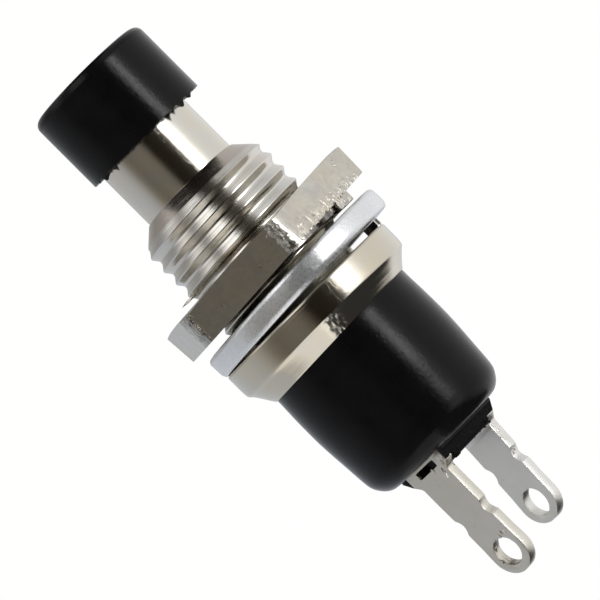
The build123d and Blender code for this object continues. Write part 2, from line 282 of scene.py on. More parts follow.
# ------------------------------------------------------------ material helpers
class Nodes:
    """Small wrapper for building node trees. Lengths are in millimetres."""

    def __init__(self, name):
        self.mat = bpy.data.materials.new(name)
        self.mat.use_nodes = True
        self.t = self.mat.node_tree
        self.t.nodes.clear()
        self.out = self.t.nodes.new("ShaderNodeOutputMaterial")
        self.bsdf = self.t.nodes.new("ShaderNodeBsdfPrincipled")
        self.t.links.new(self.bsdf.outputs[0], self.out.inputs[0])
        tc = self.t.nodes.new("ShaderNodeTexCoord")
        self.p = self.vec("SCALE", tc.outputs["Object"], scale=1000.0)

    def link(self, a, b):
        self.t.links.new(a, b)

    def vec(self, op, a, b=None, scale=None):
        n = self.t.nodes.new("ShaderNodeVectorMath")
        n.operation = op
        self.put(n.inputs[0], a)
        if b is not None:
            self.put(n.inputs[1], b)
        if scale is not None:
            n.inputs["Scale"].default_value = scale
        return n.outputs["Value"] if op in ("DOT_PRODUCT", "LENGTH") else n.outputs[0]

    def put(self, socket, v):
        if isinstance(v, bpy.types.NodeSocket):
            self.link(v, socket)
        else:
            socket.default_value = v

    def math(self, op, a, b=None, c=None, clamp=False):
        n = self.t.nodes.new("ShaderNodeMath")
        n.operation, n.use_clamp = op, clamp
        for i, v in enumerate((a, b, c)):
            if v is not None:
                self.put(n.inputs[i], v)
        return n.outputs[0]

    def ramp(self, fac, stops, mode="LINEAR"):
        n = self.t.nodes.new("ShaderNodeValToRGB")
        n.color_ramp.interpolation = mode
        e = n.color_ramp.elements
        while len(e) > 1:
            e.remove(e[-1])
        for i, (pos, col) in enumerate(stops):
            el = e[0] if i == 0 else e.new(pos)
            el.position = pos
            el.color = (*col, 1.0) if hasattr(col, "__len__") else (col, col, col, 1.0)
        self.put(n.inputs[0], fac)
        return n.outputs[0]

    def noise(self, vector, scale, detail=3.0, rough=0.55, distort=0.0, w=None):
        n = self.t.nodes.new("ShaderNodeTexNoise")
        n.inputs["Scale"].default_value = scale
        n.inputs["Detail"].default_value = detail
        n.inputs["Roughness"].default_value = rough
        n.inputs["Distortion"].default_value = distort
        if w is not None:
            n.noise_dimensions = "1D"
            self.put(n.inputs["W"], w)
        else:
            self.put(n.inputs["Vector"], vector)
        return n.outputs["Fac"]

    def voronoi(self, vector, scale, feature="F1", out="Distance", randomness=1.0):
        n = self.t.nodes.new("ShaderNodeTexVoronoi")
        n.feature = feature
        n.inputs["Scale"].default_value = scale
        n.inputs["Randomness"].default_value = randomness
        self.put(n.inputs["Vector"], vector)
        return n.outputs[out]

    def maprange(self, v, a, b, c, d):
        n = self.t.nodes.new("ShaderNodeMapRange")
        n.inputs["From Min"].default_value = a
        n.inputs["From Max"].default_value = b
        n.inputs["To Min"].default_value = c
        n.inputs["To Max"].default_value = d
        self.put(n.inputs["Value"], v)
        return n.outputs["Result"]

    def mix(self, fac, a, b):
        n = self.t.nodes.new("ShaderNodeMix")
        n.data_type = "RGBA"
        self.put(n.inputs["Factor"], fac)
        self.put(n.inputs[6], a if isinstance(a, bpy.types.NodeSocket) else (*a, 1.0))
        self.put(n.inputs[7], b if isinstance(b, bpy.types.NodeSocket) else (*b, 1.0))
        return n.outputs[2]

    def separate(self, v):
        n = self.t.nodes.new("ShaderNodeSeparateXYZ")
        self.put(n.inputs[0], v)
        return n.outputs

    def combine(self, x, y, z):
        n = self.t.nodes.new("ShaderNodeCombineXYZ")
        for i, v in enumerate((x, y, z)):
            self.put(n.inputs[i], v)
        return n.outputs[0]

    def bump(self, height, distance_mm, strength=1.0, normal=None):
        n = self.t.nodes.new("ShaderNodeBump")
        n.inputs["Strength"].default_value = strength
        n.inputs["Distance"].default_value = distance_mm * MM
        self.put(n.inputs["Height"], height)
        if normal is not None:
            self.link(normal, n.inputs["Normal"])
        return n.outputs[0]

    def radius(self):
        s = self.separate(self.p)
        return self.math("SQRT", self.math("ADD", self.math("MULTIPLY", s[0], s[0]),
                                           self.math("MULTIPLY", s[1], s[1]))), s[2]

    def set(self, **kw):
        for k, v in kw.items():
            self.put(self.bsdf.inputs[k.replace("_", " ")], v)


def nickel(name, tint, rough=0.12, turned=0.5, grain=0.3, dull=0.0, pits=0.0, upper=None, worn_and_shaded=False):
    """Nickel plate over turned brass: turning rings, faint clouding, fine scratches.
    upper is the plate's tint above the flange, where it is thicker and paler."""
    m = Nodes(name)
    r, z = m.radius()
    cloud = m.noise(m.p, 0.55, 4.0, 0.6)
    fine = m.noise(m.p, 9.0, 3.0, 0.6)
    warm = tuple(c * k for c, k in zip(tint, (1.03, 0.985, 0.90)))
    cool = tuple(c * k for c, k in zip(tint, (0.97, 1.0, 1.02)))
    base = m.mix(m.maprange(cloud, 0.35, 0.65, 0.0, 1.0), warm, cool)
    if upper:
        # painted shade: the nib standing on the flange, in the narrow gap under the washer, is darkened to near black
        nib_shade = m.math("MULTIPLY", m.maprange(z, 0.03, 0.06, 0.0, 1.0), m.maprange(r, 3.75, 3.85, 0.0, 1.0))
        pale = m.mix(m.maprange(cloud, 0.35, 0.65, 0.0, 1.0), tuple(c * k for c, k in zip(upper, (1.02, 0.99, 0.95))),
                     tuple(c * k for c, k in zip(upper, (0.98, 1.0, 1.02))))
        base = m.mix(m.maprange(z, 0.1, 0.5, 0.0, 1.0), base, pale)
        base = m.mix(m.maprange(z, 6.3, 6.45, 0.0, 1.0), base, (0.68, 0.615, 0.54))
        base = m.mix(m.math("MULTIPLY", nib_shade, 0.9), base, (0.05, 0.05, 0.045))
    if worn_and_shaded:
        # painted shade: the nut's rear lip and bore end inside r 3.8 between z 1.7 and 2.1, in the gap beside the
        # washer, are darkened to near black
        dark = m.math("MULTIPLY", m.math("MULTIPLY", m.maprange(z, 2.05, 2.10, 1.0, 0.0), m.maprange(z, 1.69, 1.71, 0.0, 1.0)),
                      m.maprange(r, 3.78, 3.82, 1.0, 0.0))
        base = m.mix(m.math("MULTIPLY", dark, 0.93), base, (0.03, 0.028, 0.025))
    if worn_and_shaded:
        mottle = m.noise(m.p, 1.9, 5.0, 0.72, distort=0.6)
        base = m.mix(m.maprange(mottle, 0.36, 0.64, 0.0, 0.65), base, tuple(c * k for c, k in zip(tint, (0.80, 0.79, 0.82))))
        s, f = m.vec("DOT_PRODUCT", m.p, tuple(SIDE)), m.vec("DOT_PRODUCT", m.p, tuple(FRONT))
        wide = m.math("ADD", s, m.maprange(m.noise(m.p, 3.0, 3.0, 0.6), 0.3, 0.7, -0.09, 0.09))
        corner = m.math("MULTIPLY", m.math("MULTIPLY", m.maprange(wide, 0.90, 1.04, 0.0, 1.0), m.maprange(wide, 1.35, 1.43, 1.0, 0.0)),
                        m.maprange(f, 5.2, 5.3, 0.0, 1.0))
        low = m.math("MULTIPLY", m.math("MULTIPLY", m.maprange(wide, -4.45, -4.25, 0.0, 1.0), m.maprange(wide, -4.05, -3.90, 1.0, 0.0)),
                     m.math("MULTIPLY", m.maprange(f, 2.0, 2.5, 0.0, 1.0), m.maprange(r, 4.95, 5.05, 0.0, 1.0)))
        rear = m.math("MULTIPLY", m.maprange(z, 2.12, 2.75, 1.0, 0.0), m.maprange(s, 1.6, 2.0, 0.0, 1.0))
        rear = m.math("MULTIPLY", rear, m.maprange(r, 4.6, 4.8, 0.0, 1.0))
        worn = m.math("MULTIPLY_ADD", rear, 0.55, m.math("MULTIPLY_ADD", low, 0.8, corner))
        base = m.mix(m.math("MULTIPLY", m.math("MAXIMUM", low, m.math("MULTIPLY", corner, 0.6)), m.maprange(mottle, 0.40, 0.60, 0.30, 0.95)),
                     base, tuple(c * 0.30 for c in tint))
    # tiny dull specks in the plate
    speck = m.maprange(m.voronoi(m.p, 3.4), 0.05, 0.11, 1.0, 0.0)
    gate = m.maprange(m.noise(m.p, 1.7, 2.0), 0.56, 0.62, 0.0, 1.0)
    speck = m.math("MULTIPLY", speck, gate)
    base = m.mix(m.math("MULTIPLY", speck, 0.30 + pits), base, tuple(c * 0.45 for c in tint))
    m.set(Base_Color=base, Metallic=1.0)
    rings = m.noise(None, 14.0, 3.0, 0.7, w=m.math("SUBTRACT", z, m.math("MULTIPLY", r, 0.83)))
    soft = m.maprange(fine, 0.25, 0.75, -0.03, 0.035)
    streak = m.maprange(rings, 0.3, 0.7, -0.02, 0.03)
    m.set(Roughness=m.math("ADD", m.math("ADD", soft, streak), rough + dull))
    # scratches: thin lines across the rings
    along = m.vec("MULTIPLY", m.p, (1.0, 1.0, 0.22))
    wav = m.noise(along, 6.0, 2.0, 0.5, distort=0.4)
    scratch = m.maprange(m.math("ABSOLUTE", m.math("SUBTRACT", wav, 0.5)), 0.0, 0.012, 1.0, 0.0)
    if upper:
        turned = m.math("MULTIPLY_ADD", m.maprange(z, 6.3, 6.4, 0.0, 1.0), -turned * 0.25, turned)
    h = m.math("ADD", m.math("MULTIPLY", rings, turned),
               m.math("MULTIPLY", m.noise(m.p, 4.0, 5.0, 0.6), grain))
    if worn_and_shaded:
        h = m.math("MULTIPLY_ADD", m.noise(m.p, 1.1, 3.0, 0.55), 5.0, h)
        h = m.math("MULTIPLY_ADD", m.math("MULTIPLY", worn, m.noise(m.p, 2.6, 4.0, 0.6, distort=1.0)), 38.0, h)
    h = m.math("SUBTRACT", h, m.math("MULTIPLY", scratch, 0.10))
    h = m.math("SUBTRACT", h, m.math("MULTIPLY", speck, 0.5))
    m.set(Normal=m.bump(h, 0.004))
    return m.mat


def black_plastic(name, rough, sheen_spread, spec):
    """Gloss black moulding with faint orange peel, dust and rub marks."""
    m = Nodes(name)
    cloud = m.noise(m.p, 0.9, 4.0, 0.6)
    base = m.ramp(cloud, [(0.3, (0.0030, 0.0031, 0.0036)), (0.7, (0.0052, 0.0050, 0.0052))])
    m.set(Base_Color=base)
    rub = m.noise(m.vec("MULTIPLY", m.p, (1, 1, 0.35)), 3.1, 5.0, 0.65)
    m.set(Roughness=m.maprange(rub, 0.3, 0.7, rough - sheen_spread, rough + sheen_spread))
    m.set(Specular_IOR_Level=spec, IOR=1.5)
    peel = m.noise(m.p, 5.5, 3.0, 0.5)
    grit = m.noise(m.p, 22.0, 2.0, 0.6)
    h = m.math("ADD", m.math("MULTIPLY", peel, 1.0), m.math("MULTIPLY", grit, 0.35))
    m.set(Normal=m.bump(h, 0.006))
    return m.mat


# ------------------------------------------------------------------- materials
nickel_bush = nickel("nickel_turned", (0.66, 0.615, 0.535), rough=0.12, turned=0.9, grain=0.35,
                     upper=(0.70, 0.68, 0.64))
nickel_sleeve = nickel("nickel_sleeve", (0.70, 0.67, 0.615), rough=0.115, turned=0.45, grain=0.35)
nickel_nut = nickel("nickel_nut", (0.63, 0.602, 0.545), rough=0.17, turned=0.0, grain=0.9, pits=0.25,
                   worn_and_shaded=True)


def zinc_plate(name):
    m = Nodes(name)
    cloud = m.noise(m.p, 0.8, 4.0, 0.6)
    base = m.mix(m.maprange(cloud, 0.35, 0.65, 0.0, 1.0), (0.775, 0.792, 0.812), (0.83, 0.838, 0.85))
    m.set(Base_Color=base, Metallic=0.86)
    grain = m.noise(m.p, 7.0, 4.0, 0.65)
    m.set(Roughness=m.maprange(grain, 0.3, 0.7, 0.24, 0.34))
    cell = m.voronoi(m.p, 6.0)
    h = m.math("ADD", m.math("MULTIPLY", grain, 1.1), m.math("MULTIPLY", cell, 0.5))
    m.set(Normal=m.bump(h, 0.0065))
    return m.mat


zinc = zinc_plate("zinc_plate")
cap_black = black_plastic("cap_black", 0.15, 0.03, 0.15)
body_black = black_plastic("housing_black", 0.16, 0.04, 0.135)


def tin_plate(name, tint, rough):
    """Tinned brass strip: matt rolled face, streaks along the lug, rub marks."""
    m = Nodes(name)
    cloud = m.noise(m.p, 0.7, 4.0, 0.6)
    streaks = m.noise(m.vec("MULTIPLY", m.p, (6.0, 6.0, 0.7)), 1.2, 4.0, 0.65)
    f = m.math("ADD", m.math("MULTIPLY", cloud, 0.6), m.math("MULTIPLY", streaks, 0.4))
    base = m.mix(m.maprange(f, 0.35, 0.65, 0.0, 1.0),
                 tuple(c * k for c, k in zip(tint, (0.95, 0.94, 0.90))),
                 tuple(c * k for c, k in zip(tint, (1.04, 1.04, 1.06))))
    spots = m.maprange(m.voronoi(m.p, 1.9), 0.08, 0.16, 1.0, 0.0)
    base = m.mix(m.math("MULTIPLY", spots, 0.22), base, tuple(c * 0.6 for c in tint))
    m.set(Base_Color=base, Metallic=1.0)
    m.set(Roughness=m.maprange(streaks, 0.3, 0.7, rough - 0.05, rough + 0.07))
    h = m.math("ADD", m.math("MULTIPLY", streaks, 0.8), m.noise(m.p, 11.0, 4.0, 0.6))
    m.set(Normal=m.bump(h, 0.006))
    return m.mat


tin_front = tin_plate("tin_front", (0.75, 0.722, 0.655), 0.34)
tin_rear = tin_plate("tin_rear", (0.84, 0.83, 0.795), 0.36)


def plain_inside(name, light, dark, metal, rough, scale):
    m = Nodes(name)
    n = m.noise(m.p, scale, 4.0, 0.6)
    m.set(Base_Color=m.ramp(n, [(0.3, dark), (0.7, light)]), Metallic=metal)
    m.set(Roughness=m.maprange(n, 0.3, 0.7, rough - 0.06, rough + 0.06))
    m.set(Normal=m.bump(m.noise(m.p, scale * 6, 3.0, 0.6), 0.004))
    return m.mat


nylon = plain_inside("core_nylon", (0.78, 0.75, 0.66), (0.68, 0.65, 0.56), 0.0, 0.45, 1.5)
silvered = plain_inside("silvered_contact", (0.86, 0.84, 0.80), (0.72, 0.69, 0.62), 1.0, 0.28, 2.0)
spring = plain_inside("spring_wire", (0.56, 0.56, 0.57), (0.42, 0.42, 0.43), 1.0, 0.30, 3.0)
for node, mat in (("plunger_core", nylon), ("contact_disc", silvered),
                  ("contact_spring", spring), ("return_spring", spring)):
    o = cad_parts[node]
    o.data.materials.clear()
    o.data.materials.append(mat)

# =========================================================== threaded bushing
PITCH, CREST, ROOT = 0.75, 3.43, 3.06
CREST_Z = 5.49                     # a crest stands here on the SIDE line
BUSH_TOP, BORE = 6.93, 2.47
rng = random.Random(11)


def bush_shape(a, r, z):
    """The rolled skirt ends a little out of square and is wrinkled at one place."""
    if z > 5.9 and r < 3.5:
        z += 0.10 * smooth(3.40, 2.6, r) * math.cos(math.radians(turn(a, FRONT_DEG)))
    t = smooth(-1.25, -2.1, z) if r > 3.5 else 0.0
    s = math.cos(math.radians(turn(a, SIDE_DEG)))
    if t and r > 3.88:
        z += t * (0.12 * s - 0.02)
        w = 0.0
        for centre, width, amp in ((120.0, 4.0, 0.02), (200.0, 5.0, -0.02), (275.0, 4.0, 0.02)):
            d = turn(a, centre) / width
            w += amp * math.exp(-d * d)
        r += w * math.sin(math.pi * clamp01((-1.2 - z) / 1.1))
    # a small crumple in the skirt
    if r > 3.88 and z < -1.2:
        d = turn(a, FRONT_DEG + 3.6) / 4.6
        k = math.exp(-d ** 4) * smooth(-1.22, -1.34, z)
        q = Vector((a * 0.55, z * 7.0, 2.7))
        f = noise.noise(q) + 0.6 * noise.noise(q * 2.3 + Vector((4, 1, 0)))
        r += k * (0.027 * f - 0.010)
        z += k * 0.02 * noise.noise(q * 1.7 + Vector((0, 3, 9)))
    return r, z


prof = [(BORE, -0.55), (BORE, 6.86), (2.478, 6.90), (2.495, 6.925), (2.515, 6.932), (2.535, 6.925)]
CONE_R, CONE_A, CONE_B = 3.13, 0.93, 1.067
cone_mid = 6.925 - (CONE_R - 2.535) * CONE_A
prof += [(CONE_R, cone_mid), (CREST, cone_mid - (CREST - CONE_R) * CONE_B), (CREST, 0.85), (3.0, 0.42)]
prof += [(3.0, 0.05), (3.015, 0.015), (3.05, 0.0), (4.56, 0.0)]
prof += arc(4.58, -0.12, 0.12, 82, 0, 5)
prof += [(4.70, -0.30), (4.70, -0.46), (4.70, -0.62), (4.698, -0.80), (4.693, -0.96),
         (4.684, -1.08), (4.672, -1.17), (4.652, -1.23), (4.622, -1.27), (4.586, -1.305), (4.548, -1.338),
         (4.50, -1.38), (4.455, -1.43), (4.41, -1.485), (4.34, -1.57), (4.27, -1.66), (4.20, -1.745), (4.165, -1.79),
         (4.13, -1.84), (4.095, -1.885), (4.06, -1.93), (4.03, -1.97), (4.0, -2.01), (3.955, -2.075), (3.925, -2.10), (3.905, -2.095),
         (3.90, -2.06), (3.905, -1.98), (3.93, -1.80), (4.28, -1.15), (4.30, -0.55)]
bush = lathe("bush", prof, 384, shape=bush_shape)

# the thread groove, cut by a coil that runs past both ends
half, depth, last = [(0.0, 0.0)], 0.0, 0.0
for k in range(1, 30):
    q = 0.3625 * k / 29
    lean_deg = 37.5 * min(q / 0.15, 1.0, max(0.0, (0.375 - q) / 0.05))
    depth += (q - last) * math.tan(math.radians(lean_deg))
    last = q
    half.append((q, depth))
half = [(q, 3.428 - depth + r) for q, r in half] + [(0.3625, 3.60)]
section = [(-s, r) for s, r in reversed(half)] + half[1:]
per_turn, turns = 120, 9.6
verts, faces = [], []
count = int(per_turn * turns)
for i in range(count + 1):
    a = SIDE_DEG + 360.0 * i / per_turn
    zc = CREST_Z - 0.375 - 7 * PITCH + PITCH * i / per_turn
    ca, sa = math.cos(math.radians(a)), math.sin(math.radians(a))
    for s, r in section:
        verts.append((r * ca, r * sa, zc + s))
n = len(section)
for i in range(count):
    for k in range(n):
        j = (k + 1) % n
        faces.append((i * n + k, i * n + j, (i + 1) * n + j, (i + 1) * n + k))
faces.append(tuple(range(n - 1, -1, -1)))
faces.append(tuple(count * n + k for k in range(n)))
coil = make("coil", verts, faces)
cut(bush, coil)

# nib that keeps the switch from turning in its panel
nib_out = []
for k in range(9):
    t = math.radians(-90 + 22.5 * k)
    nib_out.append((4.41 + 0.25 * math.cos(t), 0.25 * math.sin(t)))
for k in range(9):
    t = math.radians(90 + 22.5 * k)
    nib_out.append((4.11 + 0.25 * math.cos(t), 0.25 * math.sin(t)))
nib = prism("nib", nib_out, -0.2, 0.33, (SIDE, UP.cross(SIDE), UP))
cut(bush, nib, "UNION")
tidy(bush)


def mouth(c, n, v):
    """Exact normal on the turned cone at the bushing's mouth."""
    r = math.hypot(c.x, c.y)
    if c.z < 5.8 or not 2.53 < r < 3.45 or n.z < 0.3:
        return None
    rad = Vector((c.x / r, c.y / r, 0.0))
    if n.dot((rad * 0.7251 + UP * 0.6887)) < 0.985:
        return None
    if v is None:
        return n
    q = math.hypot(v.x, v.y)
    k = CONE_A if r < CONE_R - 0.012 else CONE_B
    return Vector((v.x / q * k, v.y / q * k, 1.0)).normalized()


done(bush, "bushing_turned", "body", ["threaded_bushing"], nickel_bush, angle=30, weighted=False,
     surfaces=[mouth])

# ============================================================= plunger sleeve
prof = [(2.05, 12.95), (2.365, 12.95), (2.425, 12.89), (2.425, 10.9), (2.425, 8.6), (2.425, 6.9),
        (2.425, 3.0), (2.425, -0.57), (2.88, -0.57), (2.90, -0.59), (2.90, -0.95), (2.88, -0.97),
        (2.05, -0.97)]
sleeve = lathe("sleeve", prof, 192)
done(sleeve, "sleeve_tube", "button", ["plunger_sleeve"], nickel_sleeve)

# ================================================================= button cap
CAP_R, CAP_LOW, CAP_HIGH = 3.10, 9.79, 13.52
teeth = [(FRONT_DEG + 55.1, 4.4, 0.17), (FRONT_DEG + 41.5, 4.6, 0.27), (FRONT_DEG + 66, 3.0, 0.05), (FRONT_DEG + 31, 3.2, 0.05),
         (FRONT_DEG - 54.3, 3.0, 0.10), (FRONT_DEG - 66, 3.5, 0.06), (FRONT_DEG + 3, 3.0, 0.03), (FRONT_DEG - 20, 4.0, 0.03),
         (96.0, 3.6, 0.10), (150.0, 3.2, 0.14), (188.0, 4.4, 0.09), (262.0, 3.4, 0.11)]


def cap_shape(a, r, z):
    if z < CAP_LOW + 0.75 and r > 2.55:
        k = 1.0 - smooth(CAP_LOW + 0.06, CAP_LOW + 0.7, z)
        rim = 0.015 * noise.noise(Vector((math.cos(math.radians(a)) * 9, math.sin(math.radians(a)) * 9, 3.1)))
        rim += 0.02 * noise.noise(Vector((math.cos(math.radians(a)) * 28, math.sin(math.radians(a)) * 28, 7.7)))
        for c, w, amp in teeth:
            d = abs(turn(a, c)) / w
            rim -= amp * max(0.0, 1.0 - d) * (1.0 if r > 2.8 else 0.4)
        z += rim * k - 0.12 * k * math.cos(math.radians(turn(a, FRONT_DEG)))
    return r, z


prof = [(0.0, CAP_HIGH)] + [(r, CAP_HIGH) for r in (0.9, 1.8, 2.4)]
prof += arc(CAP_R - 0.38, CAP_HIGH - 0.38, 0.38, 90, 0, 8)
prof += [(CAP_R, 13.0), (CAP_R, 12.2), (CAP_R, 11.4), (CAP_R, 10.7), (CAP_R, 10.3), (CAP_R, 10.1), (CAP_R, 9.98),
         (CAP_R, 9.90), (CAP_R, 9.84), (3.095, 9.80), (3.07, 9.79), (3.00, 9.80), (2.92, 9.86),
         (2.60, 9.86), (2.50, 9.88), (2.43, 9.95), (2.43, 12.95), (0.0, 12.95)]
cap = lathe("cap", prof, 360, ring=False, shape=cap_shape)
cap.matrix_world = Matrix.Translation(SIDE * 0.17)
settle(cap)
done(cap, "cap_moulded", "button", ["button_cap"], cap_black)

# ==================================================================== hex nut
NUT_T, NUT_AF, NUT_MID = 1.60, 10.0, 2.62


def slanted(offset, z, slant, lean):
    n = (UP - SIDE * math.tan(math.radians(slant)) - FRONT * math.tan(math.radians(lean))).normalized()
    x = (Vector((1, 0, 0)) - n * n.x).normalized()
    y = n.cross(x)
    o = SIDE * offset + UP * z
    return Matrix(((x.x, y.x, n.x, o.x), (x.y, y.y, n.y, o.y), (x.z, y.z, n.z, o.z), (0, 0, 0, 1)))


nut_frame = slanted(0.13, NUT_MID, 3.40, -1.35)
ap = NUT_AF / 2
outline = []
for k in range(6):
    bis = -31.4 + 60.0 * k
    f = 0.33 if k == 0 else (0.10, 0.14, 0.12, 0.16, 0.30)[k - 1]
    rm = ap / math.cos(math.radians(30)) - 0.2989 * f
    for dr, dt in ((-0.2588 * f, -0.9659 * f), (0.0, 0.0), (-0.2588 * f, 0.9659 * f)):
        c, s = math.cos(math.radians(bis)), math.sin(math.radians(bis))
        outline.append(((rm + dr) * c - dt * s, (rm + dr) * s + dt * c))
nut = prism("nut", outline, -NUT_T / 2, NUT_T / 2)
env = lathe("env", [(0.0, NUT_T / 2 + 0.001), (4.88, NUT_T / 2 + 0.001), (5.10, NUT_T / 2 - 0.02), (5.40, NUT_T / 2 - 0.055),
                    (5.65, NUT_T / 2 - 0.10), (5.80, NUT_T / 2 - 0.16), (6.6, NUT_T / 2 - 0.60),
                    (6.6, -NUT_T / 2 + 0.24), (5.60, -NUT_T / 2 - 0.001), (0.0, -NUT_T / 2 - 0.001)], 144, ring=False)
cut(nut, env, "INTERSECT")
tidy(nut)
bevel(nut, 0.055, 3, 18)


def drawn(p):
    """The blank tapers to the rear and its sides run a little off square."""
    k = (p.z + NUT_T / 2) / NUT_T
    d = math.hypot(p.x, p.y)
    if d > 3.6:
        f = 1.0 + 0.0135 * (k - 0.28)
        side = Vector((math.cos(AZ), math.sin(AZ), 0.0))
        p = Vector((p.x * f, p.y * f, p.z)) - side * (p.z * math.tan(math.radians(-2.0)))
    return p


bend_points(nut, drawn)
nut.matrix_world = nut_frame
settle(nut)

# the nut's own thread runs true with the bushing's, a hair clear of it
clear = 0.03
groove = [(-0.375 + 0.02, 3.13), (-0.33, 3.13), (-0.06, 3.56), (0.06, 3.56), (0.33, 3.13), (0.375 - 0.02, 3.13)]
verts, faces = [], []
section = [(-0.350, 3.115), (-0.330, 3.150), (-0.09, 3.50), (-0.04, 3.545), (0.04, 3.545), (0.09, 3.50),
           (0.330, 3.150), (0.350, 3.115), (0.350, 2.6), (-0.350, 2.6)]
count = int(per_turn * 5.2)
for i in range(count + 1):
    a = SIDE_DEG + 360.0 * i / per_turn
    zc = CREST_Z - 6 * PITCH + PITCH * i / per_turn
    ca, sa = math.cos(math.radians(a)), math.sin(math.radians(a))
    for s, r in section:
        verts.append((r * ca, r * sa, zc + s))
n = len(section)
for i in range(count):
    for k in range(n):
        j = (k + 1) % n
        faces.append((i * n + k, i * n + j, (i + 1) * n + j, (i + 1) * n + k))
faces.append(tuple(range(n - 1, -1, -1)))
faces.append(tuple(count * n + k for k in range(n)))
tap = make("tap", verts, faces)
drill = lathe("drill", [(0.0, -1.0), (3.13, -1.0), (3.13, 6.0), (0.0, 6.0)], 120, ring=False)
cut(nut, drill)
cut(nut, tap)
sink = lathe("sink", [(0.0, NUT_T / 2 + 0.3), (3.95, NUT_T / 2 + 0.3), (3.13, NUT_T / 2 - 0.52), (0.0, NUT_T / 2 - 0.52)], 120, ring=False)
sink.matrix_world = nut_frame
settle(sink)
cut(nut, sink)
sink = lathe("sink", [(0.0, -NUT_T / 2 - 0.3), (3.62, -NUT_T / 2 - 0.3), (3.13, -NUT_T / 2 + 0.19), (0.0, -NUT_T / 2 + 0.19)], 120, ring=False)
sink.matrix_world = nut_frame
settle(sink)
cut(nut, sink)
tidy(nut)

tree = tree_of(nut)

# pip and a thin crescent lip left on the rear face
t = math.radians(44.5)
u, w = SIDE * math.cos(t) - FRONT * math.sin(t), SIDE * math.sin(t) + FRONT * math.cos(t)
o = SIDE * 4.16 + FRONT * 2.35
pip = prism("pip", [(-0.52, -0.5), (0.50, -0.5), (0.54, -0.02), (0.48, 0.05), (-0.50, 0.05), (-0.56, -0.02)], 1.56, 2.3,
            (u, w, UP))
pip.data.transform(Matrix.Translation(o))
bevel(pip, 0.04, 2, 40)
cut(nut, pip, "UNION")
lip = lathe("lip", [(0.0, 2.3), (3.60, 2.3), (3.60, 1.72), (3.585, 1.70), (3.50, 1.615), (3.48, 1.605), (0.0, 1.605)], 160, ring=False)
lip.data.transform(Matrix.Translation(SIDE * 0.13))
cut(lip, lathe("lipbore", [(0.0, 1.0), (3.475, 1.0), (3.475, 3.0), (0.0, 3.0)], 160, ring=False))
cut(nut, lip, "UNION")
tidy(nut)

# handling marks: nicks along the rear edge, a crumpled corner, small dents


def rear_edge(s):
    z, last = 3.4, None
    while z > 1.2:
        p, n = hit(tree, s, z)
        if p is not None and n.dot(FRONT) > 0.25:
            last = (p, n)
        elif last is not None:
            break
        z -= 0.01
    return last


marks = random.Random(29)
gouges, lumps = [], []
s = 4.3
while s > 0.75:
    e = rear_edge(s)
    if e:
        k = marks.uniform(0.05, 0.11)
        (gouges if marks.random() < 0.6 else lumps).append((e[0] + UP * marks.uniform(-0.02, 0.04), e[1], (k * 1.1, k * 0.7, k * 0.9),
                                                            marks.random()))
        if marks.random() < 0.75:
            w, n = hit(tree, s + marks.uniform(-0.05, 0.05), e[0].z + 0.12 + 0.5 * marks.random() ** 2)
            if w is not None:
                k = marks.uniform(0.05, 0.10)
                (gouges if marks.random() < 0.55 else lumps).append((w, n, (k * 1.2, k * 0.28, k * 0.8), marks.random()))
    s -= marks.uniform(0.10, 0.17)
for s in (-0.8, -1.0, -1.2, -1.42, -1.65, -2.05, -3.05, -4.3, -4.5):
    e = rear_edge(s)
    if e:
        k = marks.uniform(0.05, 0.09)
        (gouges if marks.random() < 0.5 else lumps).append((e[0] + UP * 0.03, e[1], (k, k * 0.7, k), marks.random()))
# the corner that has been gripped
z = 3.40
while z > 1.95:
    for s0, s1, p0 in ((1.30, 1.44, 0.95), (1.08, 1.24, 0.6)):
        if marks.random() < p0:
            p, n = hit(tree, marks.uniform(s0, s1), z + marks.uniform(-0.03, 0.03))
            if p is not None:
                k = marks.uniform(0.06, 0.11)
                (gouges if marks.random() < 0.65 else lumps).append((p, n, (k * 0.7, k * 0.5, k * 1.2), marks.random()))
    z -= marks.uniform(0.12, 0.18)
# scattered dents: near the top, on the lower face and on the lower corner
for s, z, k in ((4.99, 3.30, 0.09), (4.95, 3.12, 0.08), (4.66, 2.68, 0.10), (4.58, 2.50, 0.12), (4.50, 2.34, 0.09),
                (4.78, 2.44, 0.08), (4.36, 2.20, 0.10), (3.95, 2.42, 0.08), (2.78, 2.72, 0.09), (2.62, 2.52, 0.12),
                (2.50, 2.32, 0.10), (2.22, 2.60, 0.08), (2.15, 2.30, 0.10), (1.92, 2.45, 0.08), (3.30, 2.30, 0.08),
                (0.80, 2.90, 0.12), (0.52, 2.72, 0.10), (0.05, 2.10, 0.10), (-0.30, 2.25, 0.08), (-2.35, 2.05, 0.09),
                (-2.60, 2.20, 0.08), (-4.08, 2.22, 0.13), (-4.12, 2.02, 0.11), (-4.16, 2.60, 0.10), (-4.12, 2.95, 0.09)):
    p, n = hit(tree, s, z)
    if p is not None:
        (gouges if marks.random() < 0.7 else lumps).append((p, n, (k * 1.0, k * 0.22, k * 1.3), marks.random()))
for group, how in ((gouges, "DIFFERENCE"), (lumps, "UNION")):
    cut(nut, chips(group), how)
# a burr beside the thread on the front face
cut(nut, chip(SIDE * -3.50 + UP * 3.47 + FRONT * 1.0, (0.50, 0.06, 0.07), 5, 18), "UNION")
tidy(nut)
done(nut, "nut_hexagon", "nut", ["hex_nut"], nickel_nut, angle=24, weighted=True)

